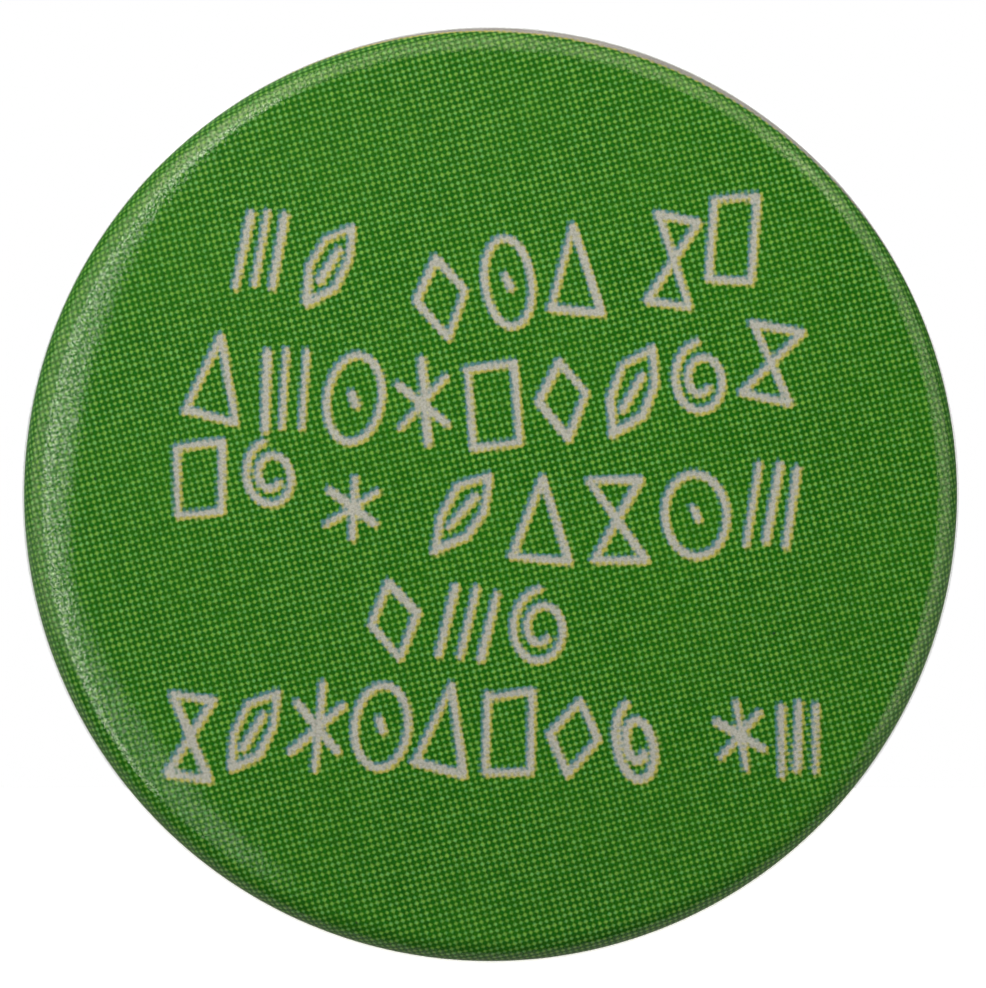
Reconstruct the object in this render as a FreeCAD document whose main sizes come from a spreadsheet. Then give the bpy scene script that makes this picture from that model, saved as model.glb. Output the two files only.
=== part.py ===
"""A pin-back button badge, 32 mm across, worn upright with its face towards -Y.

The face is a domed tin shell with a printed paper disc and a clear film pulled over it.
All three turn round the edge and curl in at the back, where they trap the flange of a
dished back plate. Two straps lanced out of the plate hold the fixed leg of one piece of
spring wire. Its other leg is the pin, and its far end is bent into the catch.

Frame: millimetres, +X to the right of a person looking at the face, +Y out of the back,
+Z up. The origin is on the pin's centre line, behind the badge's vertical middle line.
Round pieces are drawn as a section of radius and depth, where depth is measured back from
the middle of the face, revolved about Y, and then moved into this frame.
"""
import math
import os

import FreeCAD
import Part
import Sketcher

X = FreeCAD.Vector(1, 0, 0)
Y = FreeCAD.Vector(0, 1, 0)
Z = FreeCAD.Vector(0, 0, 1)
ORIGIN = -1  # a sketch's own origin, and its vertical axis, in constraints
UPRIGHT = -2
START, END, CENTRE = 1, 2, 3

SIZES = {
    # the outside of the film, which is the outside of the badge
    "badge_radius": 15.875,
    "dome_radius": 78.4,
    "edge_radius": 1.1,
    "curl_radius": 0.99,
    "curl_depth": 3.58,
    "hem_depth": 3.2,
    # sheets, from the outside in, with a hair of air between them
    "film_thickness": 0.05,
    "paper_thickness": 0.10,
    "tin_thickness": 0.25,
    "layer_gap": 0.02,
    # the back plate: depths are those of the surfaces that face the back
    "floor_depth": 2.44,
    "recess_radius": 12.35,
    "rim_depth": 4.69,
    "rim_radius": 13.85,
    "flange_depth": 3.1,
    "flange_radius": 15.3,
    "inner_bend": 0.2,
    "strap_width": 1.8,
    "strap_clearance": 0.03,
    "left_strap_x": -6.2,
    "right_strap_x": 5.2,
    # the wire: a fixed leg, a U turn, the pin, and the catch at the fixed leg's far end
    "wire_radius": 0.35,
    "leg_spacing": 4.6,
    "pin_lift": 0.9,
    "turn_x": 9.45,
    "point_start_x": 7.4,
    "point_length": 3.9,
    "point_radius": 0.03,
    "catch_x": 10.0,
    "catch_corner": 1.1,
    "catch_radius": 0.71,
    "catch_z": 0.3,
    "turn_gap": 0.05,
}


def add_worked_out_sizes(s):
    """Sizes that follow from the driving ones."""
    s["film_under"] = 0.0
    s["paper_under"] = s["film_thickness"] + s["layer_gap"]
    s["shell_under"] = s["paper_under"] + s["paper_thickness"] + s["layer_gap"]
    s["outer_bend"] = s["inner_bend"] + s["tin_thickness"]
    s["strap_bore"] = s["wire_radius"] + s["strap_clearance"]
    s["pin_depth"] = s["floor_depth"] + s["wire_radius"] + s["pin_lift"]
    s["pin_rise"] = s["leg_spacing"] / 2
    s["turn_radius"] = math.hypot(s["leg_spacing"], s["pin_lift"]) / 2
    s["turn_gap_angle"] = math.degrees((s["wire_radius"] + s["turn_gap"]) / s["turn_radius"])
    return s


def make_sheet(doc, s):
    sheet = doc.addObject("Spreadsheet::Sheet", "sizes")
    for row, (name, value) in enumerate(s.items(), start=1):
        sheet.set(f"A{row}", name)
        sheet.set(f"B{row}", f"{value:.6f}")
        sheet.setAlias(f"B{row}", name)
    doc.recompute()


def bind(thing, formulas):
    for path, formula in formulas.items():
        thing.setExpression(path, formula)


# ---------------------------------------------------------------- sketches


def new_body(doc, name):
    """A body for a piece drawn about the badge's own axis, placed in the row's frame."""
    body = doc.addObject("PartDesign::Body", name)
    bind(body, {"Placement.Base.y": "-sizes.pin_depth", "Placement.Base.z": "-sizes.pin_rise"})
    return body


def new_sketch(body, name, plane):
    sketch = body.newObject("Sketcher::SketchObject", name)
    support = [f for f in body.Origin.OriginFeatures if f.Role == plane][0]
    sketch.AttachmentSupport = (support, [""])
    sketch.MapMode = "FlatFace"
    return sketch


def line(start, end):
    a = FreeCAD.Vector(*start, 0)
    b = FreeCAD.Vector(*end, 0)
    return Part.LineSegment(a, b), START, END


def arc(centre, radius, start, end):
    """An arc drawn from one angle to another, in degrees, either way round."""
    circle = Part.Circle(FreeCAD.Vector(*centre, 0), Z, radius)
    low, high = sorted((math.radians(start), math.radians(end)))
    ends = (START, END) if end > start else (END, START)
    return Part.ArcOfCircle(circle, low, high), *ends


def draw_loop(sketch, pieces, sharp):
    """Add the pieces in order and join each to the next, tangent unless named sharp."""
    names = list(pieces)
    ids = {name: sketch.addGeometry(pieces[name][0], False) for name in names}
    for name, following in zip(names, names[1:] + names[:1]):
        kind = "Coincident" if name in sharp else "Tangent"
        ends = (ids[name], pieces[name][2], ids[following], pieces[following][1])
        sketch.addConstraint(Sketcher.Constraint(kind, *ends))
    return ids


def hold(sketch, kind, *where):
    sketch.addConstraint(Sketcher.Constraint(kind, *where))


def size(sketch, kind, where, formula):
    """A dimension whose value is a formula of the sheet's cells."""
    value = float(sketch.evalExpression(formula))
    index = sketch.addConstraint(Sketcher.Constraint(kind, *where, value))
    sketch.setExpression(f"Constraints[{index}]", formula)


def revolve(body, sketch):
    turned = body.newObject("PartDesign::Revolution", f"{body.Name}_turned")
    turned.Profile = sketch
    turned.ReferenceAxis = (sketch, ["V_Axis"])
    turned.Angle = 360
    return turned


# ---------------------------------------------------------------- face skins and shell


def make_skin(doc, s, name, under, thickness):
    """One layer of the face, from the middle of the dome round the edge to its hem.

    under is the cell for how far its outer surface lies inside the film's.
    """
    body = new_body(doc, name)
    sketch = new_sketch(body, f"{name}_section", "XY_Plane")
    inset, t = s[under], s[thickness]
    edge_r = s["badge_radius"] - s["edge_radius"]
    rise = math.sqrt((s["dome_radius"] - s["edge_radius"]) ** 2 - edge_r**2)
    crease = math.degrees(math.atan2(-rise, edge_r))
    dome = (0, s["dome_radius"])
    edge = (edge_r, s["dome_radius"] - rise)
    curl = (s["badge_radius"] - s["curl_radius"], s["curl_depth"])
    wall_r = s["badge_radius"] - inset
    leg_r = curl[0] - s["curl_radius"] + inset
    pieces = {
        "dome": arc(dome, s["dome_radius"] - inset, -90, crease),
        "edge": arc(edge, s["edge_radius"] - inset, crease, 0),
        "wall": line((wall_r, edge[1]), (wall_r, curl[1])),
        "curl": arc(curl, s["curl_radius"] - inset, 0, 180),
        "leg": line((leg_r, curl[1]), (leg_r, s["hem_depth"])),
        "hem": line((leg_r, s["hem_depth"]), (leg_r + t, s["hem_depth"])),
        "inner_leg": line((leg_r + t, s["hem_depth"]), (leg_r + t, curl[1])),
        "inner_curl": arc(curl, s["curl_radius"] - inset - t, 180, 0),
        "inner_wall": line((wall_r - t, curl[1]), (wall_r - t, edge[1])),
        "inner_edge": arc(edge, s["edge_radius"] - inset - t, 0, crease),
        "inner_dome": arc(dome, s["dome_radius"] - inset - t, crease, -90),
        "middle": line((0, inset + t), (0, inset)),
    }
    ids = draw_loop(sketch, pieces, sharp={"leg", "hem", "inner_dome", "middle"})
    for upright in ("wall", "leg", "inner_leg", "inner_wall", "middle"):
        hold(sketch, "Vertical", ids[upright])
    hold(sketch, "Horizontal", ids["hem"])
    for outer in ("dome", "edge", "curl"):
        hold(sketch, "Coincident", ids[outer], CENTRE, ids[f"inner_{outer}"], CENTRE)
    hold(sketch, "PointOnObject", ids["dome"], CENTRE, UPRIGHT)
    hold(sketch, "PointOnObject", ids["dome"], START, UPRIGHT)
    for bend in ("dome", "edge", "curl"):
        size(sketch, "Radius", (ids[bend],), f"sizes.{bend}_radius - sizes.{under}")
    size(sketch, "DistanceX", (ids["hem"], START, ids["hem"], END), f"sizes.{thickness}")
    from_origin = (ORIGIN, START)
    size(sketch, "DistanceX", (*from_origin, ids["wall"], START),
         f"sizes.badge_radius - sizes.{under}")
    size(sketch, "DistanceY", (*from_origin, ids["dome"], CENTRE), "sizes.dome_radius")
    size(sketch, "DistanceY", (*from_origin, ids["curl"], CENTRE), "sizes.curl_depth")
    size(sketch, "DistanceY", (*from_origin, ids["hem"], START), "sizes.hem_depth")
    revolve(body, sketch)
    return body


# ---------------------------------------------------------------- back plate


def draw_plate_section(sketch, s):
    """A dished floor, a raised bead for a rim, and a flange that the shell's curl traps."""
    t, small, large = s["tin_thickness"], s["inner_bend"], s["outer_bend"]
    floor, rim, flange = s["floor_depth"], s["rim_depth"], s["flange_depth"]
    inner, outer, reach = s["recess_radius"], s["rim_radius"], s["flange_radius"]
    foot = (inner - small, floor + small)
    inside = (inner + large, rim - large)
    outside = (outer - large, rim - large)
    turn = (outer + small, flange + small)
    pieces = {
        "floor": line((0, floor), (foot[0], floor)),
        "foot": arc(foot, small, -90, 0),
        "recess": line((inner, foot[1]), (inner, inside[1])),
        "inside": arc(inside, large, 180, 90),
        "rim": line((inside[0], rim), (outside[0], rim)),
        "outside": arc(outside, large, 90, 0),
        "bead": line((outer, outside[1]), (outer, turn[1])),
        "turn": arc(turn, small, 180, 270),
        "flange": line((turn[0], flange), (reach, flange)),
        "flange_end": line((reach, flange), (reach, flange - t)),
        "under_flange": line((reach, flange - t), (turn[0], flange - t)),
        "under_turn": arc(turn, large, 270, 180),
        "under_bead": line((outer - t, turn[1]), (outer - t, outside[1])),
        "under_outside": arc(outside, small, 0, 90),
        "under_rim": line((outside[0], rim - t), (inside[0], rim - t)),
        "under_inside": arc(inside, small, 90, 180),
        "under_recess": line((inner + t, inside[1]), (inner + t, foot[1])),
        "under_foot": arc(foot, large, 0, -90),
        "under_floor": line((foot[0], floor - t), (0, floor - t)),
        "middle": line((0, floor - t), (0, floor)),
    }
    ids = draw_loop(sketch, pieces, sharp={"flange", "flange_end", "under_floor", "middle"})
    for level in ("floor", "rim", "flange"):
        hold(sketch, "Horizontal", ids[level])
        hold(sketch, "Horizontal", ids[f"under_{level}"])
    for upright in ("recess", "bead", "under_recess", "under_bead", "flange_end", "middle"):
        hold(sketch, "Vertical", ids[upright])
    for bend in ("foot", "inside", "outside", "turn"):
        hold(sketch, "Coincident", ids[bend], CENTRE, ids[f"under_{bend}"], CENTRE)
    for bend in ("foot", "under_inside", "under_outside", "turn"):
        size(sketch, "Radius", (ids[bend],), "sizes.inner_bend")
    hold(sketch, "PointOnObject", ids["middle"], END, UPRIGHT)
    size(sketch, "DistanceY", (ids["middle"], START, ids["middle"], END), "sizes.tin_thickness")
    for level in ("floor", "rim", "flange"):
        size(sketch, "DistanceY", (ORIGIN, START, ids[level], START), f"sizes.{level}_depth")
    for upright, cell in (("recess", "recess_radius"), ("bead", "rim_radius"),
                          ("flange_end", "flange_radius")):
        size(sketch, "DistanceX", (ORIGIN, START, ids[upright], START), f"sizes.{cell}")


def place_strap_sketch(sketch, side):
    bind(sketch, {"AttachmentOffset.Base.z": f"sizes.{side}_strap_x"})


def add_strap(body, s, side):
    """A strap lanced up out of the floor over the wire's fixed leg, and the slot it leaves."""
    leg = (s["floor_depth"] + s["wire_radius"], -s["leg_spacing"] / 2)
    under = s["floor_depth"] - s["tin_thickness"]
    bore, back = s["strap_bore"], s["strap_bore"] + s["tin_thickness"]
    arch = new_sketch(body, f"{side}_strap_section", "YZ_Plane")
    pieces = {
        "low_side": line((under, leg[1] - back), (leg[0], leg[1] - back)),
        "crown": arc(leg, back, -90, 90),
        "high_side": line((leg[0], leg[1] + back), (under, leg[1] + back)),
        "high_foot": line((under, leg[1] + back), (under, leg[1] + bore)),
        "high_bore": line((under, leg[1] + bore), (leg[0], leg[1] + bore)),
        "bore": arc(leg, bore, 90, -90),
        "low_bore": line((leg[0], leg[1] - bore), (under, leg[1] - bore)),
        "low_foot": line((under, leg[1] - bore), (under, leg[1] - back)),
    }
    ids = draw_loop(arch, pieces, sharp={"high_side", "high_foot", "low_bore", "low_foot"})
    for side_line in ("low_side", "high_side", "high_bore", "low_bore"):
        hold(arch, "Horizontal", ids[side_line])
    for foot in ("high_foot", "low_foot"):
        hold(arch, "Vertical", ids[foot])
    hold(arch, "Coincident", ids["crown"], CENTRE, ids["bore"], CENTRE)
    size(arch, "Radius", (ids["bore"],), "sizes.strap_bore")
    size(arch, "Radius", (ids["crown"],), "sizes.strap_bore + sizes.tin_thickness")
    size(arch, "DistanceX", (ORIGIN, START, ids["bore"], CENTRE),
         "sizes.floor_depth + sizes.wire_radius")
    size(arch, "DistanceY", (ids["bore"], CENTRE, ORIGIN, START), "sizes.leg_spacing / 2")
    for foot in ("high_foot", "low_foot"):
        size(arch, "DistanceX", (ORIGIN, START, ids[foot], START),
             "sizes.floor_depth - sizes.tin_thickness")
    place_strap_sketch(arch, side)
    strap = body.newObject("PartDesign::Pad", f"{side}_strap")
    strap.Profile = arch
    strap.SideType = "Symmetric"
    bind(strap, {"Length": "sizes.strap_width"})

    opening = new_sketch(body, f"{side}_slot_section", "YZ_Plane")
    front = under - bore
    slot_pieces = {
        "low": line((front, leg[1] - bore), (leg[0], leg[1] - bore)),
        "back": line((leg[0], leg[1] - bore), (leg[0], leg[1] + bore)),
        "high": line((leg[0], leg[1] + bore), (front, leg[1] + bore)),
        "front": line((front, leg[1] + bore), (front, leg[1] - bore)),
    }
    ids = draw_loop(opening, slot_pieces, sharp=set(slot_pieces))
    for level in ("low", "high"):
        hold(opening, "Horizontal", ids[level])
    for upright in ("back", "front"):
        hold(opening, "Vertical", ids[upright])
    size(opening, "DistanceX", (ORIGIN, START, ids["back"], START),
         "sizes.floor_depth + sizes.wire_radius")
    size(opening, "DistanceX", (ORIGIN, START, ids["front"], START),
         "sizes.floor_depth - sizes.tin_thickness - sizes.strap_bore")
    size(opening, "DistanceY", (ids["low"], START, ORIGIN, START),
         "sizes.leg_spacing / 2 + sizes.strap_bore")
    size(opening, "DistanceY", (ids["high"], START, ORIGIN, START),
         "sizes.leg_spacing / 2 - sizes.strap_bore")
    place_strap_sketch(opening, side)
    slot = body.newObject("PartDesign::Pocket", f"{side}_slot")
    slot.Profile = opening
    slot.SideType = "Symmetric"
    bind(slot, {"Length": "sizes.strap_width"})


def make_back_plate(doc, s):
    body = new_body(doc, "back_plate")
    section = new_sketch(body, "back_plate_section", "XY_Plane")
    draw_plate_section(section, s)
    revolve(body, section)
    for side in ("left", "right"):
        add_strap(body, s, side)
    return body


# ---------------------------------------------------------------- spring wire


def place(thing, where, rotation):
    """Put a primitive at a point given as three formulas, turned by a rotation."""
    thing.Placement = FreeCAD.Placement(FreeCAD.Vector(), rotation)
    bind(thing, dict(zip(("Placement.Base.x", "Placement.Base.y", "Placement.Base.z"), where)))
    return thing


def straight(doc, name, where, direction, length):
    rod = doc.addObject("Part::Cylinder", name)
    bind(rod, {"Radius": "sizes.wire_radius", "Height": length})
    return place(rod, where, FreeCAD.Rotation(Z, direction))


def bend(doc, name, centre, outwards, towards, radius, angle):
    """A bend that starts outwards of its centre and turns towards the second direction."""
    ring = doc.addObject("Part::Torus", name)
    bind(ring, {"Radius1": radius, "Radius2": "sizes.wire_radius", "Angle3": angle})
    axis = outwards.cross(towards)
    return place(ring, centre, FreeCAD.Rotation(outwards, towards, axis, "XZY"))


def ball(doc, name, where):
    end = doc.addObject("Part::Sphere", name)
    bind(end, {"Radius": "sizes.wire_radius"})
    return place(end, where, FreeCAD.Rotation())


def join(doc, name, pieces):
    wire = doc.addObject("Part::MultiFuse", name)
    wire.Shapes = pieces
    wire.Refine = True
    return wire


def make_pin_base(doc, s):
    """The fixed leg, most of the U turn's lower half, and the catch."""
    across = FreeCAD.Vector(0, s["pin_lift"], s["leg_spacing"]).normalize()
    turn_centre = ("-sizes.turn_x", "-sizes.pin_lift / 2", "-sizes.leg_spacing / 2")
    leg_start = ("-sizes.turn_x", "-sizes.pin_lift", "-sizes.leg_spacing")
    corner = ("sizes.catch_x - sizes.catch_corner", "-sizes.pin_lift",
              "sizes.catch_corner - sizes.leg_spacing")
    riser_start = ("sizes.catch_x", "-sizes.pin_lift", "sizes.catch_corner - sizes.leg_spacing")
    hook = ("sizes.catch_x", "sizes.catch_radius - sizes.pin_lift", "sizes.catch_z")
    hook_end = ("sizes.catch_x", "2 * sizes.catch_radius - sizes.pin_lift", "sizes.catch_z")
    return join(doc, "pin_base", [
        bend(doc, "lower_turn", turn_centre, -across, -X, "sizes.turn_radius",
             "90 - sizes.turn_gap_angle"),
        straight(doc, "fixed_leg", leg_start, X,
                 "sizes.turn_x + sizes.catch_x - sizes.catch_corner"),
        bend(doc, "catch_corner_bend", corner, -Z, X, "sizes.catch_corner", "90"),
        straight(doc, "catch_riser", riser_start, Z,
                 "sizes.leg_spacing + sizes.catch_z - sizes.catch_corner"),
        bend(doc, "catch_hook", hook, -Y, Z, "sizes.catch_radius", "180"),
        ball(doc, "catch_end", hook_end),
    ])


def make_pin_arm(doc, s):
    """The pin: a ball at the middle of the U turn, the rest of the turn, shank and point."""
    across = FreeCAD.Vector(0, s["pin_lift"], s["leg_spacing"]).normalize()
    turn_centre = ("-sizes.turn_x", "-sizes.pin_lift / 2", "-sizes.leg_spacing / 2")
    turn_middle = ("-sizes.turn_x - sizes.turn_radius", *turn_centre[1:])
    point = doc.addObject("Part::Cone", "point")
    bind(point, {"Radius1": "sizes.wire_radius", "Radius2": "sizes.point_radius",
                 "Height": "sizes.point_length"})
    place(point, ("sizes.point_start_x", "0", "0"), FreeCAD.Rotation(Z, X))
    return join(doc, "pin_arm", [
        ball(doc, "turn_ball", turn_middle),
        bend(doc, "upper_turn", turn_centre, across, -X, "sizes.turn_radius", "90"),
        straight(doc, "shank", ("-sizes.turn_x", "0", "0"), X,
                 "sizes.turn_x + sizes.point_start_x"),
        point,
    ])


# ---------------------------------------------------------------- build and write


def check(doc, parts):
    for thing in doc.Objects:
        bad = {"Invalid", "Error"} & set(thing.State)
        if bad:
            raise RuntimeError(f"{thing.Name} is {bad}")
        if thing.TypeId == "Sketcher::SketchObject" and not thing.FullyConstrained:
            raise RuntimeError(f"{thing.Name} has freedom left")
    for part in parts:
        if part.Shape.isNull() or not part.Shape.isValid():
            raise RuntimeError(f"{part.Label} has no valid shape")
        if len(part.Shape.Solids) != 1:
            raise RuntimeError(f"{part.Label} has {len(part.Shape.Solids)} solids")


def check_slots(plate):
    """A pocket that misses its body cuts nothing, so each slot has to take metal away."""
    for side in ("left", "right"):
        before = plate.Document.getObject(f"{side}_strap").Shape.Volume
        after = plate.Document.getObject(f"{side}_slot").Shape.Volume
        if after >= before:
            raise RuntimeError(f"the {side} slot cuts nothing")


def main():
    doc = FreeCAD.newDocument("button_badge")
    s = add_worked_out_sizes(dict(SIZES))
    make_sheet(doc, s)
    plate = make_back_plate(doc, s)
    parts = [
        make_skin(doc, s, "clear_film", "film_under", "film_thickness"),
        make_skin(doc, s, "printed_paper", "paper_under", "paper_thickness"),
        make_skin(doc, s, "front_shell", "shell_under", "tin_thickness"),
        plate,
        make_pin_base(doc, s),
        make_pin_arm(doc, s),
    ]
    doc.recompute()
    check(doc, parts)
    check_slots(plate)
    os.makedirs("parts", exist_ok=True)
    for part in parts:
        part.Shape.exportStep(f"parts/{part.Label}.step")
        box = part.Shape.BoundBox
        print(f"{part.Label}: {part.Shape.Volume:.3f} mm3, x {box.XMin:.2f} to {box.XMax:.2f}, "
              f"y {box.YMin:.2f} to {box.YMax:.2f}, z {box.ZMin:.2f} to {box.ZMax:.2f}")


main()
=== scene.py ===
"""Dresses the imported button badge: print, film, tinplate and wire, with its studio and camera.

Lengths are in millimetres up to the point where a mesh is made, and in metres after that.
Round pieces are sections of radius and depth, where depth is measured back from the middle
of the face. Printed things are placed by their flat distance from the middle of the paper.
"""
import math

import bmesh
import bpy
import numpy as np
from mathutils import Matrix, Vector

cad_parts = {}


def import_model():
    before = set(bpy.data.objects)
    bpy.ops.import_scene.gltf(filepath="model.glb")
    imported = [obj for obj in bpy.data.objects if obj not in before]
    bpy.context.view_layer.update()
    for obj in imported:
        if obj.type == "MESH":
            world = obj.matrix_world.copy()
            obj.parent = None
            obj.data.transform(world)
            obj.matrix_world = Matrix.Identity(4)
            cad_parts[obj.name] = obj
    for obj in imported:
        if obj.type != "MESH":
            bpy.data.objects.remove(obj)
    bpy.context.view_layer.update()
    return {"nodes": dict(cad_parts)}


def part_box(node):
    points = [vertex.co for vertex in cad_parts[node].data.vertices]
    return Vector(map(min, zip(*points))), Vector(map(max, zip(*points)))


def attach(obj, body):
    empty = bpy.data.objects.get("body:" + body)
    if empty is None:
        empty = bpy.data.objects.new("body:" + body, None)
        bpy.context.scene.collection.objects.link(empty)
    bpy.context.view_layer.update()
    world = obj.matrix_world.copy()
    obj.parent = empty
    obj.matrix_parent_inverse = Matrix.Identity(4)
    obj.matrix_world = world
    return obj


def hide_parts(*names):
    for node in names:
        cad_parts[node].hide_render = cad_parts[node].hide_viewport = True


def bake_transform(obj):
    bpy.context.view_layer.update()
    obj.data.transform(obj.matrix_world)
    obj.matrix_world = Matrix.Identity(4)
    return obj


MM = 0.001

# The badge, as in the part's own sizes
BADGE_RADIUS = 15.875
DOME_RADIUS = 78.4
EDGE_RADIUS = 1.1
CURL_RADIUS = 0.99
CURL_DEPTH = 3.58
HEM_DEPTH = 3.2
FILM_THICKNESS = 0.05
PAPER_THICKNESS = 0.10
PAPER_INSET = 0.055
PIN_DEPTH = 3.69
PIN_RISE = 2.3

# The wire
WIRE_RADIUS = 0.35
LEG_SPACING = 4.6
PIN_LIFT = 0.9
TURN_X = 9.45
POINT_START_X = 7.4
POINT_END_X = 11.3
CATCH_X = 10.0
CATCH_CORNER = 1.1
CATCH_RADIUS = 0.71
CATCH_Z = 0.3
SPLIT_X = -6.2
TIP_RADIUS = 0.03
WIRE_SIDES = 28

# The print
PITCH = 0.2117
CYAN_ANGLE = 17.5
YELLOW_ANGLE = 2.5
CYAN_SHIFT = (0.08, -0.08)
INK_RADIUS = 17.75
INK_CENTRE = (-0.629, -1.729)
STROKE = 0.142
NIBBLE = 0.055
INK_EDGE = (-0.075, 0.07)
MOST_CORNERS = 12

# Flat distances from the middle of the sheet over which its look changes
# where the bare paper at the rolled rim darkens into painted shade
PAINTED_SHADE_SPAN = (15.2, 15.6)
WHITE_PAPER = (16.5, 17.3)
ROLLED_FILM = (14.4, 15.2)
SAG_START = 13.0
SAG_RATE = 0.013

# How the round meshes are divided
EDGE_POINTS = 19
WALL_POINTS = 6
CURL_POINTS = 17
HEM_POINTS = 4
QUARTER_RADIUS = 3.2
HALF_RADIUS = 7.0
RIM_RADIUS = 12.6

# The film's gathers at the back
FOLD_STEPS = 3072
FOLD_HEIGHT = 0.05
HEM_FOLD_HEIGHT = 0.02

SEED = 11


# ---------------------------------------------------------------- sections and round meshes


def edge_centre():
    """The radius and depth of the middle of the arc that rolls the dome into the wall."""
    radius = BADGE_RADIUS - EDGE_RADIUS
    rise = math.sqrt((DOME_RADIUS - EDGE_RADIUS) ** 2 - radius**2)
    return radius, DOME_RADIUS - rise


def skin_section(inset, spacing):
    """Points down one side of a layer: radius, depth, outward normal, and how far they turn.

    The last number is 0 on the face and the wall, and goes from 0 to 1 round the curl.
    """
    edge = edge_centre()
    crease = math.asin(edge[0] / (DOME_RADIUS - EDGE_RADIUS))
    curl = (BADGE_RADIUS - CURL_RADIUS, CURL_DEPTH)
    small = curl[0] - CURL_RADIUS + inset
    points = []
    dome = DOME_RADIUS - inset
    steps = max(2, round(dome * crease / spacing))
    for tilt in np.linspace(0, crease, steps + 1):
        normal = (math.sin(tilt), -math.cos(tilt))
        points.append((dome * normal[0], DOME_RADIUS + dome * normal[1], *normal, 0.0))
    bend = EDGE_RADIUS - inset
    for tilt in np.linspace(crease, math.pi / 2, EDGE_POINTS)[1:]:
        normal = (math.sin(tilt), -math.cos(tilt))
        points.append((edge[0] + bend * normal[0], edge[1] + bend * normal[1], *normal, 0.0))
    for depth in np.linspace(edge[1], CURL_DEPTH, WALL_POINTS)[1:]:
        points.append((BADGE_RADIUS - inset, depth, 1.0, 0.0, 0.0))
    bend = CURL_RADIUS - inset
    for turn in np.linspace(0, math.pi, CURL_POINTS)[1:]:
        normal = (math.cos(turn), math.sin(turn))
        points.append((curl[0] + bend * normal[0], curl[1] + bend * normal[1], *normal,
                       turn / math.pi))
    for depth in np.linspace(CURL_DEPTH, HEM_DEPTH, HEM_POINTS)[1:]:
        points.append((small, depth, -1.0, 0.0, 1.0))
    return np.array(points)


def flat_distance(section):
    """How far each point is from the middle along the sheet, as it was before it was bent."""
    steps = np.hypot(np.diff(section[:, 0]), np.diff(section[:, 1]))
    return np.concatenate([[0.0], np.cumsum(steps)])


def fold_heights(count, random):
    """Small uneven gathers round the back, as heights from 0 to 1 for equal steps of angle."""
    angles = np.arange(count) * 2 * math.pi / count
    heights = np.zeros(count)
    at = 0.0
    while at < 2 * math.pi:
        at += random.uniform(0.05, 0.14)
        width = random.uniform(0.012, 0.03)
        gap = (angles - at + math.pi) % (2 * math.pi) - math.pi
        heights = np.maximum(heights, random.uniform(0.35, 1.0) * np.exp(-((gap / width) ** 2)))
    return heights


def segments_at(radius, finest, rim):
    """How many points a ring has: fewer near the middle, and a number of its own at the rim."""
    if radius < QUARTER_RADIUS:
        return finest // 4
    if radius < HALF_RADIUS:
        return finest // 2
    return finest if radius < RIM_RADIUS else rim


def strip_faces(first, second, n, m):
    """Faces between two rings, where the second has as many points or twice as many."""
    if n == m:
        return [(first + i, first + (i + 1) % n, second + (i + 1) % n, second + i)
                for i in range(n)]
    if m == 2 * n:
        faces = []
        for i in range(n):
            a, b = first + i, first + (i + 1) % n
            c, d, e = (second + (2 * i + k) % m for k in range(3))
            faces += [(a, d, c), (a, b, d), (b, e, d)]
        return faces
    return strip_faces(second, first, m, n)


def round_sheet(name, outer, inner, finest, rim, folds):
    """A thin closed sheet of revolution, from its outer and inner sections.

    Each vertex keeps where it is on the flat sheet, and whether it is on the outer side.
    Returns the object and the flat places.
    """
    flat_out = flat_distance(outer)
    flat_in = flat_out[-1] * flat_distance(inner) / flat_distance(inner)[-1]
    rings = [(*p, s, 1.0) for p, s in zip(outer, flat_out)]
    rings += [(*p, s, 0.0) for p, s in zip(inner[::-1], flat_in[::-1])]
    verts, flats, sides, faces = [], [], [], []
    before = None
    for radius, depth, out_r, out_d, turn, flat, side in rings:
        count = 1 if radius < 1e-6 else segments_at(radius, finest, rim)
        start = len(verts)
        angles = np.arange(count) * 2 * math.pi / count
        grow = min(1.0, max(0.0, turn * 2 - 0.25))
        grow *= FOLD_HEIGHT if turn < 0.9 else HEM_FOLD_HEIGHT
        lift = grow * folds[:: len(folds) // count][:count]
        for angle, raised in zip(angles, lift):
            r = radius + out_r * raised
            place = (r * math.cos(angle), depth + out_d * raised - PIN_DEPTH,
                     r * math.sin(angle) - PIN_RISE)
            verts.append([MM * c for c in place])
            flats.append((flat * math.cos(angle), flat * math.sin(angle), 0.0))
            sides.append(side)
        if before is not None:
            old, n = before
            if count == 1:
                faces += [(old + i, old + (i + 1) % n, start) for i in range(n)]
            elif n == 1:
                faces += [(old, start + (i + 1) % count, start + i) for i in range(count)]
            else:
                faces += strip_faces(old, start, n, count)
        before = (start, count)
    mesh = bpy.data.meshes.new(name)
    mesh.from_pydata(verts, [], faces)
    face_outwards(mesh)
    set_values(mesh, "flat", "FLOAT_VECTOR", np.array(flats))
    set_values(mesh, "outer_side", "FLOAT", np.array(sides))
    return link(name, mesh), np.array(flats)[:, :2]


def face_outwards(mesh):
    """Turn the faces outwards, and shade them smooth but for sharp edges."""
    work = bmesh.new()
    work.from_mesh(mesh)
    bmesh.ops.recalc_face_normals(work, faces=work.faces)
    work.to_mesh(mesh)
    work.free()
    mesh.shade_smooth()
    mesh.set_sharp_from_angle(angle=math.radians(45))


def set_values(mesh, name, kind, values):
    """Store a value per vertex, for the materials to read."""
    attribute = mesh.attributes.new(name, kind, "POINT")
    field = "vector" if kind == "FLOAT_VECTOR" else "value"
    attribute.data.foreach_set(field, np.asarray(values, np.float32).ravel())


def link(name, mesh):
    made = bpy.data.objects.new(name, mesh)
    bpy.context.scene.collection.objects.link(made)
    return made


# ---------------------------------------------------------------- the printed marks


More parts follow.
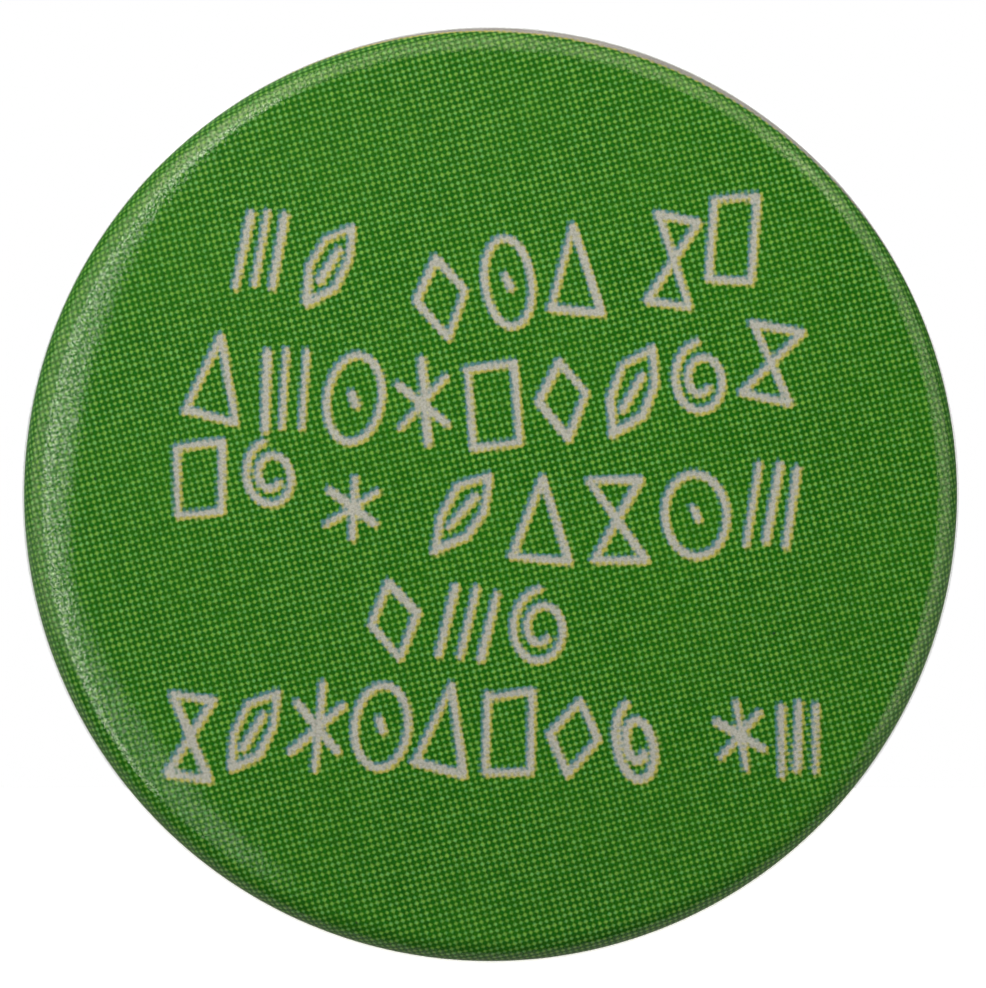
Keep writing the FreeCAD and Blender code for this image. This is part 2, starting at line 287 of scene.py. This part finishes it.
def middle_line(left, middle, right, share):
    """A curved line of heights through three points, at a share of the way along."""
    return (left * (1 - share) * (1 - 2 * share) + middle * 4 * share * (1 - share)
            + right * share * (2 * share - 1))


def oval(turns, inwards=0.0):
    """An oval line round the middle, once or more, that may wind inwards."""
    angles = math.radians(100) + np.linspace(0, 2 * math.pi * turns, round(26 * turns))
    size = np.linspace(1, 1 - inwards, len(angles))
    return list(zip(size * np.cos(angles), size * np.sin(angles)))


# Plain pen marks, each as strokes in a box from -1 to 1
MARKS = {
    "bars": [[(-0.9, -1), (-0.5, 1)], [(-0.2, -0.9), (0.2, 1)], [(0.5, -1), (0.9, 0.9)]],
    "triangle": [[(-1, -0.9), (0, 1), (1, -1), (-1, -0.9)]],
    "diamond": [[(0, 1), (0.9, 0.1), (0, -1), (-0.9, 0), (0, 1)]],
    "hourglass": [[(-0.8, 1), (0.9, 0.9), (-0.9, -0.9), (0.8, -1), (-0.8, 1)]],
    "star": [[(0, 1), (0.1, -1)], [(-0.9, 0.5), (0.9, -0.5)], [(-0.9, -0.6), (0.9, 0.6)]],
    "box": [[(-0.9, 0.8), (0.8, 1), (0.9, -0.9), (-0.8, -1), (-0.9, 0.8)]],
    "leaf": [[(-0.9, -1), (-0.8, -0.1), (-0.2, 0.7), (0.9, 1), (0.8, 0.1), (0.2, -0.6),
              (-0.9, -1)], [(-0.4, -0.4), (0.4, 0.4)]],
    "eye": [oval(1.03), [(-0.1, 0.15), (0.1, -0.15)]],
    "shell": [oval(1.6, 0.7)],
}

ROWS = (
    # from x, to x, heights at its start, middle and end, size, marks
    (-9.0, -4.3, (8.5, 8.1, 7.5), 2.6, ("bars", "leaf")),
    (-2.8, 3.9, (6.4, 7.2, 7.9), 2.9, ("diamond", "eye", "triangle")),
    (5.1, 9.2, (7.6, 8.3, 9.2), 2.9, ("hourglass", "box")),
    (-10.5, 10.6, (4.3, 3.1, 4.8), 2.8,
     ("triangle", "bars", "eye", "star", "box", "diamond", "leaf", "shell", "hourglass")),
    (-11.1, -6.2, (0.6, 0.6, 0.8), 2.6, ("box", "shell")),
    (-5.9, -3.5, (-0.3, -0.4, -0.4), 2.3, ("star",)),
    (-2.3, 10.8, (-0.4, -0.8, -0.1), 2.9, ("leaf", "triangle", "hourglass", "eye", "bars")),
    (-4.5, 2.9, (-4.2, -4.3, -4.6), 2.6, ("diamond", "bars", "shell")),
    (-11.3, 6.0, (-8.3, -7.8, -8.6), 2.8,
     ("hourglass", "leaf", "star", "eye", "triangle", "box", "diamond", "shell")),
    (7.4, 11.4, (-8.0, -8.2, -8.3), 2.5, ("star", "bars")),
)


def mark_lines():
    """The pale marks as lines of (x, z, half width) points on the flat paper."""
    random = np.random.default_rng(SEED)
    lines = []
    for x0, x1, mids, height, names in ROWS:
        step = (x1 - x0) / len(names)
        for k, name in enumerate(names):
            share = (k + 0.5) / len(names)
            middle = (x0 + share * (x1 - x0), middle_line(*mids, share))
            wide = min(0.4 * step, 1.15) * random.uniform(0.88, 1.08)
            tall = 0.5 * height * random.uniform(0.9, 1.06)
            lean = random.uniform(-0.2, 0.2)
            for stroke in MARKS[name]:
                shape = np.array(stroke, float)
                wobble = random.uniform(-0.05, 0.05, shape.shape)
                width = random.uniform(0.85, 1.15, len(shape))
                if len(shape) > MOST_CORNERS:
                    # ovals stay smooth and have one width
                    wobble[:] = 0.0
                    width[:] = random.uniform(0.9, 1.1)
                shape += wobble
                x = middle[0] + shape[:, 0] * wide + shape[:, 1] * tall * lean
                z = middle[1] + shape[:, 1] * tall - shape[:, 0] * wide * lean
                lines.append(np.stack([x, z, STROKE * width], axis=1))
    return lines


def outside_strokes(points, lines):
    """How far each flat point is outside the nearest stroke, below 0 inside it."""
    nearest = np.full(len(points), 3.0)
    for path in lines:
        for start, end in zip(path, path[1:]):
            along = end[:2] - start[:2]
            offset = points - start[:2]
            share = np.clip(offset @ along / (along @ along), 0, 1)
            gap = np.hypot(*(offset - share[:, None] * along).T)
            nearest = np.minimum(nearest, gap - start[2] - share * (end[2] - start[2]))
    return nearest


# ---------------------------------------------------------------- nodes


def new_material(name):
    material = bpy.data.materials.new(name)
    material.use_nodes = True
    material.node_tree.nodes.clear()
    return material, material.node_tree


def add(tree, kind, inputs=None, output=0, **settings):
    """Add a node and return one of its outputs. An input is a value or another's output."""
    made = tree.nodes.new(kind)
    for name, value in settings.items():
        setattr(made, name, value)
    for key, value in (inputs or {}).items():
        if isinstance(value, bpy.types.NodeSocket):
            tree.links.new(value, made.inputs[key])
        else:
            made.inputs[key].default_value = value
    return made.outputs[output]


def maths(tree, operation, *values, clamp=False):
    inputs = dict(enumerate(values))
    return add(tree, "ShaderNodeMath", inputs, operation=operation, use_clamp=clamp)


def ramp(tree, value, low, high, start=0.0, end=1.0):
    inputs = {0: value, 1: low, 2: high, 3: start, 4: end}
    return add(tree, "ShaderNodeMapRange", inputs, interpolation_type="SMOOTHSTEP")


def mix(tree, share, first, second):
    inputs = {0: share, 6: first, 7: second}
    return add(tree, "ShaderNodeMix", inputs, output=2, data_type="RGBA")


def stored(tree, name, output="Fac"):
    return add(tree, "ShaderNodeAttribute", output=output, attribute_name=name)


def separate(tree, vector):
    """The three outputs that hold a vector's parts."""
    return tuple(add(tree, "ShaderNodeSeparateXYZ", {0: vector}).node.outputs)


def length(tree, vector):
    return add(tree, "ShaderNodeVectorMath", {0: vector}, "Value", operation="LENGTH")


def place_on_object(tree):
    return add(tree, "ShaderNodeTexCoord", output="Object")


def stretched(tree, vector, scale, turned=(0, 0, 0)):
    inputs = {"Vector": vector, "Scale": scale, "Rotation": turned}
    return add(tree, "ShaderNodeMapping", inputs)


def noise(tree, vector, scale, detail=2.0, roughness=0.5):
    inputs = {"Vector": vector, "Scale": scale, "Detail": detail, "Roughness": roughness}
    return add(tree, "ShaderNodeTexNoise", inputs)


def bump(tree, height, distance, strength=1.0, normal=None):
    inputs = {"Height": height, "Distance": distance, "Strength": strength}
    if normal is not None:
        inputs["Normal"] = normal
    return add(tree, "ShaderNodeBump", inputs)


def finish_material(tree, shader):
    out = tree.nodes.new("ShaderNodeOutputMaterial")
    tree.links.new(shader, out.inputs["Surface"])


def colour(red, green, blue):
    """A colour given as it looks on a screen, from 0 to 255, as a shader wants it."""
    channels = []
    for c in (red, green, blue):
        c /= 255
        channels.append(c / 12.92 if c <= 0.04045 else ((c + 0.055) / 1.055) ** 2.4)
    return (*channels, 1.0)


# ---------------------------------------------------------------- print material


def screen_dots(tree, x, z, angle):
    """One ink's screen: how near a point is to a dot's middle, from -1 to 1, and the dot."""
    c, s = math.cos(math.radians(angle)) / PITCH, math.sin(math.radians(angle)) / PITCH
    u = maths(tree, "ADD", maths(tree, "MULTIPLY", x, c), maths(tree, "MULTIPLY", z, s))
    v = maths(tree, "SUBTRACT", maths(tree, "MULTIPLY", z, c), maths(tree, "MULTIPLY", x, s))
    waves = [maths(tree, "COSINE", maths(tree, "MULTIPLY", w, 2 * math.pi)) for w in (u, v)]
    near = maths(tree, "MULTIPLY", maths(tree, "ADD", *waves), 0.5)
    cell = add(tree, "ShaderNodeCombineXYZ",
               {0: maths(tree, "ROUND", u), 1: maths(tree, "ROUND", v), 2: angle})
    return near, add(tree, "ShaderNodeTexWhiteNoise", {"Vector": cell})


def inked(tree, x, z, strokes, shift, near):
    """Where one ink was laid: inside the disc, outside the strokes, nibbled by its dots."""
    dx = maths(tree, "SUBTRACT", x, INK_CENTRE[0] + shift[0])
    dz = maths(tree, "SUBTRACT", z, INK_CENTRE[1] + shift[1])
    far = maths(tree, "SQRT", maths(tree, "ADD", maths(tree, "MULTIPLY", dx, dx),
                                    maths(tree, "MULTIPLY", dz, dz)))
    inside = maths(tree, "SUBTRACT", INK_RADIUS, far)
    clear = maths(tree, "MINIMUM", inside, strokes)
    nibbled = maths(tree, "SUBTRACT", clear, maths(tree, "MULTIPLY", near, NIBBLE))
    return ramp(tree, nibbled, *INK_EDGE)


def print_material():
    """Paper printed with two inks out of register, bare at the rim and on its inner side, with
    painted shade on the bare paper where the rim rolls over.
    """
    material, tree = new_material("printed_paper")
    flat = stored(tree, "flat", "Vector")
    x, z, _ = separate(tree, flat)
    slow = noise(tree, flat, 0.22, 3.0)
    fine = noise(tree, flat, 9.0, 2.0)

    near_c, chance_c = screen_dots(tree, x, z, CYAN_ANGLE)
    near_y, chance_y = screen_dots(tree, x, z, YELLOW_ANGLE)
    ink_c = inked(tree, x, z, stored(tree, "strokes_cyan"), CYAN_SHIFT, near_c)
    ink_y = inked(tree, x, z, stored(tree, "strokes_yellow"), (0.0, 0.0), near_y)

    # pale holes in the cyan, uneven in size, over a yellow that is thinner at its own holes
    size_c = maths(tree, "MULTIPLY_ADD", chance_c, 0.3, -0.15)
    level_c = maths(tree, "ADD", maths(tree, "ADD", near_c, size_c),
                    maths(tree, "MULTIPLY_ADD", fine, 0.7, -0.35))
    hole_c = ramp(tree, level_c, -0.3, 1.1)
    hole_y = ramp(tree, near_y, -0.5, 0.9)
    lean = maths(tree, "MULTIPLY", hole_y, maths(tree, "MULTIPLY_ADD", chance_y, 0.3, 0.6))

    ground = mix(tree, lean, colour(25, 91, 0), colour(6, 91, 5))
    hole = mix(tree, lean, colour(122, 168, 66), colour(104, 168, 96))
    green = mix(tree, hole_c, ground, hole)
    green = mix(tree, ramp(tree, slow, 0.3, 0.7, 0.0, 0.16), green, colour(52, 120, 14))

    paper = mix(tree, ramp(tree, fine, 0.3, 0.7), colour(180, 176, 173), colour(168, 166, 162))
    # painted shade: an uneven darker grey on the bare paper where the rim rolls away, standing in
    # for the shade on the turned edge
    painted_rim_shade = mix(tree, ramp(tree, slow, 0.35, 0.7), colour(164, 156, 158), colour(149, 143, 144))
    spread = length(tree, flat)
    paper = mix(tree, ramp(tree, spread, *PAINTED_SHADE_SPAN), paper, painted_rim_shade)
    white = mix(tree, ramp(tree, fine, 0.3, 0.7), colour(224, 220, 214), colour(212, 208, 201))
    paper = mix(tree, ramp(tree, spread, *WHITE_PAPER), paper, white)

    yellow = colour(178, 167, 84)
    blue = colour(82, 124, 134)
    over_yellow = mix(tree, ink_c, yellow, green)
    over_paper = mix(tree, ink_c, paper, blue)
    printed = mix(tree, ink_y, over_paper, over_yellow)
    specks = add(tree, "ShaderNodeTexVoronoi", {"Vector": flat, "Scale": 0.45})
    printed = mix(tree, ramp(tree, specks, 0.012, 0.032, 0.7, 0.0), printed, colour(34, 52, 40))
    bare = mix(tree, ramp(tree, fine, 0.2, 0.8), colour(222, 219, 212), colour(206, 203, 196))
    shown = mix(tree, ramp(tree, stored(tree, "outer_side"), 0.45, 0.55), bare, printed)

    rough = maths(tree, "MULTIPLY_ADD", fine, 0.2, 0.42)
    surface = add(tree, "ShaderNodeBsdfPrincipled", {
        "Base Color": shown,
        "Roughness": rough,
        "Specular IOR Level": 0.12,
        "Normal": bump(tree, fine, 0.004 * MM, 0.5),
    })
    finish_material(tree, surface)
    return material


# ---------------------------------------------------------------- the other materials


def film_material():
    """Clear polyester: it shows what is under it and adds a fine-grained gloss."""
    material, tree = new_material("clear_film")
    where = stretched(tree, place_on_object(tree), (1000, 1000, 1000))
    grain = noise(tree, where, 8.0, 2.0, 0.6)
    waves = noise(tree, where, 0.35, 2.0)
    fleck = ramp(tree, noise(tree, where, 12.0, 1.0), 0.42, 0.68, 0.45, 2.6)
    spread = length(tree, stored(tree, "flat", "Vector"))
    fall = maths(tree, "MAXIMUM", maths(tree, "SUBTRACT", spread, SAG_START), 0.0)
    fall = maths(tree, "MULTIPLY", maths(tree, "MULTIPLY", fall, fall), -1.0)
    rolled = ramp(tree, spread, *ROLLED_FILM, 0.25, 1.0)
    normal = bump(tree, fall, SAG_RATE * MM)
    normal = bump(tree, grain, 0.007 * MM, rolled, normal)
    normal = bump(tree, waves, 0.02 * MM, 0.35, normal)
    facing = add(tree, "ShaderNodeLayerWeight", {"Blend": 0.5, "Normal": normal}, "Facing")
    mirror = maths(tree, "MULTIPLY_ADD", maths(tree, "POWER", facing, 5.0), 0.25,
                   maths(tree, "MULTIPLY", fleck, 0.05), clamp=True)
    gloss = add(tree, "ShaderNodeBsdfAnisotropic", {
        "Color": (1.0, 1.0, 1.0, 1.0),
        "Roughness": 0.07,
        "Normal": normal,
    })
    clear = add(tree, "ShaderNodeBsdfTransparent", {"Color": (0.985, 0.99, 0.98, 1.0)})
    finish_material(tree, add(tree, "ShaderNodeMixShader", {0: mirror, 1: clear, 2: gloss}))
    return material


def tinplate_material(name, scratched):
    """Bright tinplate: rolling grain, faint spangle, handling marks and a little tarnish."""
    material, tree = new_material(name)
    where = place_on_object(tree)
    grain = noise(tree, stretched(tree, where, (260, 260, 26000)), 1.0, 4.0, 0.65)
    spangle = noise(tree, where, 620.0, 3.0, 0.55)
    tarnish = noise(tree, where, 320.0, 5.0, 0.6)
    marks = noise(tree, stretched(tree, where, (900, 900, 18000), (0, 0.9, 0)), 1.0, 2.0)
    scratch = ramp(tree, marks, 0.66, 0.72, 0.0, scratched)
    bright = mix(tree, ramp(tree, spangle, 0.35, 0.65), colour(196, 196, 194),
                 colour(214, 213, 208))
    dulled = mix(tree, ramp(tree, tarnish, 0.52, 0.78, 0.0, 0.55), bright,
                 colour(168, 160, 146))
    base = mix(tree, scratch, dulled, colour(228, 228, 226))
    rough = maths(tree, "ADD", ramp(tree, tarnish, 0.3, 0.8, 0.26, 0.38),
                  maths(tree, "MULTIPLY", grain, 0.1))
    normal = bump(tree, grain, 0.0022 * MM, 0.6)
    normal = bump(tree, spangle, 0.012 * MM, 0.25, normal)
    surface = add(tree, "ShaderNodeBsdfPrincipled", {
        "Base Color": base,
        "Metallic": 1.0,
        "Roughness": rough,
        "Normal": normal,
    })
    finish_material(tree, surface)
    return material


def wire_material():
    """Nickelled spring wire with drawing lines along it, and a ground point."""
    material, tree = new_material("nickelled_wire")
    along, around, ground = separate(tree, stored(tree, "wire_place", "Vector"))
    across, up = maths(tree, "COSINE", around), maths(tree, "SINE", around)
    line_place = add(tree, "ShaderNodeCombineXYZ", {0: maths(tree, "MULTIPLY", along, 0.25),
                                                    1: maths(tree, "MULTIPLY", across, 9.0),
                                                    2: maths(tree, "MULTIPLY", up, 9.0)})
    ring_place = add(tree, "ShaderNodeCombineXYZ",
                     {0: maths(tree, "MULTIPLY", along, 16.0), 1: across, 2: up})
    drawn = noise(tree, line_place, 2.2, 3.0)
    cut = noise(tree, ring_place, 1.6, 3.0)
    wear = noise(tree, place_on_object(tree), 700.0, 4.0)
    lines = add(tree, "ShaderNodeMix", {0: ground, 2: drawn, 3: cut}, data_type="FLOAT")
    nickel = mix(tree, ramp(tree, wear, 0.4, 0.75), colour(205, 201, 192),
                 colour(180, 172, 158))
    base = mix(tree, ground, nickel, colour(196, 198, 200))
    rough = maths(tree, "ADD", ramp(tree, wear, 0.3, 0.8, 0.12, 0.26),
                  maths(tree, "MULTIPLY", lines, 0.14))
    surface = add(tree, "ShaderNodeBsdfPrincipled", {
        "Base Color": base,
        "Metallic": 1.0,
        "Roughness": rough,
        "Normal": bump(tree, lines, 0.006 * MM, 0.7),
    })
    finish_material(tree, surface)
    return material


def floor_material():
    """Pale card that reads as plain white, and is dimmer in what it throws on the badge."""
    material, tree = new_material("pale_floor")
    speck = noise(tree, place_on_object(tree), 900.0, 2.0)
    shade = mix(tree, speck, colour(246, 246, 244), colour(250, 250, 250))
    shown = add(tree, "ShaderNodeBsdfPrincipled", {
        "Base Color": shade,
        "Roughness": 0.9,
        "Emission Color": (1.0, 1.0, 1.0, 1.0),
        "Emission Strength": 0.62,
    })
    thrown = add(tree, "ShaderNodeEmission", {"Color": (1.0, 0.93, 0.85, 1.0), "Strength": 0.25})
    direct = add(tree, "ShaderNodeLightPath", output="Is Camera Ray")
    finish_material(tree, add(tree, "ShaderNodeMixShader", {0: direct, 1: thrown, 2: shown}))
    return material


# ---------------------------------------------------------------- the wire


def arc_points(centre, first, second, radius, start, end, spacing=0.1):
    """Points round a centre, where angle 0 points along first and 90 degrees along second."""
    first, second = Vector(first).normalized(), Vector(second).normalized()
    steps = max(3, round(abs(math.radians(end - start)) * radius / spacing))
    turns = [math.radians(a) for a in np.linspace(start, end, steps + 1)]
    return [Vector(centre) + radius * (math.cos(t) * first + math.sin(t) * second)
            for t in turns]


def straight_points(start, end, spacing=0.4):
    start, end = Vector(start), Vector(end)
    steps = max(1, round((end - start).length / spacing))
    return [start.lerp(end, k / steps) for k in range(steps + 1)]


def arm_path():
    """From under the left strap, round the U turn and along the pin to its point."""
    across = Vector((0, PIN_LIFT, LEG_SPACING))
    centre = (-TURN_X, -PIN_LIFT / 2, -LEG_SPACING / 2)
    path = straight_points((SPLIT_X, -PIN_LIFT, -LEG_SPACING), (-TURN_X, -PIN_LIFT, -LEG_SPACING))
    path += arc_points(centre, -across, (-1, 0, 0), across.length / 2, 0, 180)[1:]
    path += straight_points((-TURN_X, 0, 0), (POINT_START_X, 0, 0))[1:]
    path += straight_points((POINT_START_X, 0, 0), (POINT_END_X, 0, 0), 0.15)[1:]
    return path


def leg_path():
    """From under the left strap along the fixed leg, up the riser and over the catch."""
    low, lift = -LEG_SPACING, -PIN_LIFT
    corner = (CATCH_X - CATCH_CORNER, lift, low + CATCH_CORNER)
    hook = (CATCH_X, lift + CATCH_RADIUS, CATCH_Z)
    path = straight_points((SPLIT_X, lift, low), (corner[0], lift, low))
    path += arc_points(corner, (0, 0, -1), (1, 0, 0), CATCH_CORNER, 0, 90)[1:]
    path += straight_points((CATCH_X, lift, corner[2]), (CATCH_X, lift, CATCH_Z))[1:]
    path += arc_points(hook, (0, -1, 0), (0, 0, 1), CATCH_RADIUS, 0, 180, 0.07)[1:]
    return path


def point_radius(x):
    """The pin's radius: full, then a straight taper to a fine tip."""
    if x <= POINT_START_X:
        return WIRE_RADIUS
    share = (x - POINT_START_X) / (POINT_END_X - POINT_START_X)
    return WIRE_RADIUS + (TIP_RADIUS - WIRE_RADIUS) * share


def with_round_end(path, radii, steps=6):
    """Add a half ball to the path's end, as shrinking rings."""
    tip, out = path[-1], (path[-1] - path[-2]).normalized()
    end = radii[-1]
    angles = [math.pi / 2 * k / steps for k in range(1, steps)]
    path = path + [tip + out * end * math.sin(a) for a in angles]
    return path, radii + [end * math.cos(a) for a in angles]


def sweep(name, path, radii, ground_from=None):
    """A wire along a path.

    Each vertex keeps its place along and round the wire, and how far it is ground bright.
    """
    sides = WIRE_SIDES
    tangents = [(b - a).normalized() for a, b in zip([path[0]] + path[:-1], path[1:] + [path[-1]])
                if (b - a).length > 0]
    side = tangents[0].orthogonal().normalized()
    verts, places = [], []
    travelled = 0.0
    for k, (point, radius, tangent) in enumerate(zip(path, radii, tangents)):
        if k:
            travelled += (point - path[k - 1]).length
        side = (side - side.dot(tangent) * tangent).normalized()
        other = tangent.cross(side)
        ground = 0.0
        if ground_from is not None and point.z > -1:
            ground = min(1.0, max(0.0, (point.x - ground_from) / 0.3 + 0.5))
        for i in range(sides):
            turn = 2 * math.pi * i / sides
            offset = side * math.cos(turn) + other * math.sin(turn)
            verts.append((point + offset * radius) * MM)
            places.append((travelled, turn, ground))
    rings = len(path)
    faces = [(r * sides + i, r * sides + (i + 1) % sides,
              (r + 1) * sides + (i + 1) % sides, (r + 1) * sides + i)
             for r in range(rings - 1) for i in range(sides)]
    faces.append(tuple(range(sides))[::-1])
    faces.append(tuple((rings - 1) * sides + i for i in range(sides)))
    mesh = bpy.data.meshes.new(name)
    mesh.from_pydata(verts, [], faces)
    face_outwards(mesh)
    set_values(mesh, "wire_place", "FLOAT_VECTOR", np.array(places))
    return link(name, mesh)


# ---------------------------------------------------------------- pieces


def make_film(folds):
    outer = skin_section(0.0, spacing=0.3)
    inner = skin_section(FILM_THICKNESS, spacing=0.6)
    film, _ = round_sheet("gloss_film", outer, inner, finest=512, rim=512, folds=folds)
    film.data.materials.append(film_material())
    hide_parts("clear_film")
    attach(film, "badge")


def make_paper(folds):
    outer = skin_section(PAPER_INSET, spacing=0.125)
    inner = skin_section(PAPER_INSET + PAPER_THICKNESS, spacing=0.9)
    paper, flat = round_sheet("printed_disc", outer, inner, finest=768, rim=384,
                              folds=0.4 * folds)
    lines = mark_lines()
    set_values(paper.data, "strokes_yellow", "FLOAT", outside_strokes(flat, lines))
    moved = flat - np.array(CYAN_SHIFT)
    set_values(paper.data, "strokes_cyan", "FLOAT", outside_strokes(moved, lines))
    paper.data.materials.append(print_material())
    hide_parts("printed_paper")
    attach(paper, "badge")
    return paper


def make_wire():
    """Two pieces that meet out of sight under the left strap."""
    material = wire_material()
    path = arm_path()
    radii = [point_radius(p.x) if p.z > -0.5 else WIRE_RADIUS for p in path]
    arm = sweep("sprung_pin", path, radii, ground_from=POINT_START_X)
    path = leg_path()
    leg = sweep("fixed_leg", *with_round_end(path, [WIRE_RADIUS] * len(path)))
    for piece, node in ((arm, "pin_arm"), (leg, "pin_base")):
        piece.data.materials.append(material)
        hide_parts(node)
    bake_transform(arm)
    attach(leg, "badge")
    return [arm, leg]


def dress_metal(nodes):
    for name, scratched in (("front_shell", 0.3), ("back_plate", 0.8)):
        nodes[name].data.materials.clear()
        nodes[name].data.materials.append(tinplate_material(f"tinplate_{name}", scratched))
    return [nodes["front_shell"], nodes["back_plate"]]


# ---------------------------------------------------------------- studio


def aim(thing, where, target):
    thing.location = where
    thing.rotation_euler = (Vector(target) - Vector(where)).to_track_quat("-Z", "Y").to_euler()


def softbox(name, centre, off_axis, around, away, across, along, glow, tint, seen="all"):
    """A rectangular lamp, placed by its angle off the view line and its angle round it.

    across is its size towards and away from the view line, and along is its size round it.
    glow is how bright it looks, whatever its size. seen is "matt" for a lamp that is kept out
    of reflections.
    """
    lamp = bpy.data.lights.new(name, "AREA")
    lamp.shape = "RECTANGLE"
    lamp.size = across
    lamp.size_y = along
    lamp.energy = glow * 4 * across * along
    lamp.color = tint
    made = bpy.data.objects.new(name, lamp)
    bpy.context.scene.collection.objects.link(made)
    off, turn = math.radians(off_axis), math.radians(around)
    sideways = Vector((math.cos(turn), 0, math.sin(turn)))
    out = math.sin(off) * sideways + Vector((0, -math.cos(off), 0))
    radial = math.cos(off) * sideways + Vector((0, math.sin(off), 0))
    turned = Matrix((radial, out.cross(radial), out)).transposed()
    made.matrix_world = Matrix.Translation(Vector(centre) + out * away) @ turned.to_4x4()
    made.visible_camera = False
    made.visible_glossy = seen != "matt"
    return made


LAMPS = (
    # name, off axis, around, away, across, along, glow, colour, what it reaches
    ("key_high", 42, 108, 0.6, 0.5, 0.6, 3.4, (1.0, 0.99, 0.97), "matt"),
    ("fill_low", 45, -70, 0.6, 0.4, 0.5, 1.27, (1.0, 0.99, 0.97), "matt"),
    ("side_left", 82, 185, 0.6, 0.5, 0.5, 0.7, (1.0, 1.0, 1.0), "matt"),
    ("side_right", 84, -2, 0.6, 0.5, 0.7, 0.7, (1.0, 1.0, 1.0), "matt"),
    ("band_outer", 36.0, 170, 0.7, 0.06, 0.95, 2.6, (1.0, 1.0, 0.88), "all"),
    ("band_inner", 31.0, 170, 0.7, 0.06, 0.95, 1.5, (1.0, 1.0, 0.88), "all"),
    ("band_low", 32.0, 216, 0.7, 0.1, 0.3, 0.6, (1.0, 1.0, 0.9), "all"),
    ("line_left", 46.0, 162, 0.7, 0.2, 1.1, 0.28, (1.0, 1.0, 0.9), "all"),
    ("ring_left", 74, 155, 0.6, 0.5, 1.1, 0.42, (1.0, 1.0, 0.7), "all"),
    ("ring_high", 63, 90, 0.6, 0.6, 1.2, 0.53, (1.0, 1.0, 0.66), "all"),
    ("ring_right", 72, 8, 0.6, 0.62, 1.0, 0.46, (1.0, 1.0, 0.7), "all"),
    ("back_soft", 172, 90, 0.7, 0.16, 0.3, 2.6, (1.0, 1.0, 1.0), "all"),
    ("back_high", 135, 90, 0.5, 0.4, 0.6, 1.6, (1.0, 1.0, 1.0), "not_film"),
    ("back_left", 130, 190, 0.5, 0.4, 0.4, 1.5, (1.0, 1.0, 1.0), "not_film"),
    ("back_right", 130, -10, 0.5, 0.3, 0.4, 0.8, (1.0, 1.0, 1.0), "not_film"),
)


def light_scene(centre, under_film):
    """The lamps, some of which leave out the film, and a dim room on a white ground."""
    not_film = bpy.data.collections.new("not_film")
    for piece in under_film:
        not_film.objects.link(piece)
    for name, *where, reaches in LAMPS:
        made = softbox(name, centre, *where, seen=reaches)
        if reaches == "not_film":
            made.light_linking.receiver_collection = not_film
    world = bpy.data.worlds.new("studio")
    bpy.context.scene.world = world
    world.use_nodes = True
    tree = world.node_tree
    tree.nodes.clear()
    seen = add(tree, "ShaderNodeLightPath", output="Is Camera Ray")
    room = add(tree, "ShaderNodeBackground", {"Color": (0.92, 0.96, 1.0, 1.0), "Strength": 0.015})
    paper = add(tree, "ShaderNodeBackground", {"Color": (1, 1, 1, 1), "Strength": 1.0})
    both = add(tree, "ShaderNodeMixShader", {0: seen, 1: room, 2: paper})
    out = tree.nodes.new("ShaderNodeOutputWorld")
    tree.links.new(both, out.inputs["Surface"])


def lay_floor(low):
    """A pale floor below and behind the badge."""
    top = low - 12 * MM
    half, front, back = 0.4, -0.002, 0.5
    corners = [(-half, front, top), (half, front, top), (half, back, top), (-half, back, top)]
    mesh = bpy.data.meshes.new("floor")
    mesh.from_pydata(corners, [], [(0, 1, 2, 3)])
    mesh.materials.append(floor_material())
    link("floor", mesh)


def set_camera(centre_z):
    """A long lens, straight on to the face."""
    lens, sensor = 300.0, 36.0
    filled = 0.9477  # the badge's share of the frame's width
    span = 2 * BADGE_RADIUS * MM / filled
    away = span * lens / sensor
    data = bpy.data.cameras.new("camera")
    data.lens = lens
    data.sensor_width = sensor
    data.shift_x = 0.0025
    data.shift_y = 0.0006
    data.clip_start = 0.01
    data.clip_end = 4.0
    camera = bpy.data.objects.new("camera", data)
    bpy.context.scene.collection.objects.link(camera)
    widest = -1.23 * MM
    aim(camera, (0, widest - away, centre_z), (0, widest, centre_z))
    bpy.context.scene.camera = camera
    bpy.context.scene.view_settings.view_transform = "Standard"


def main():
    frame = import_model()
    low, high = (Vector(c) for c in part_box("clear_film"))
    centre = (low + high) / 2
    folds = fold_heights(FOLD_STEPS, np.random.default_rng(SEED))
    make_film(folds)
    paper = make_paper(folds)
    under_film = [paper] + make_wire() + dress_metal(frame["nodes"])
    lay_floor(low.z)
    light_scene(centre, under_film)
    set_camera(centre.z)


main()
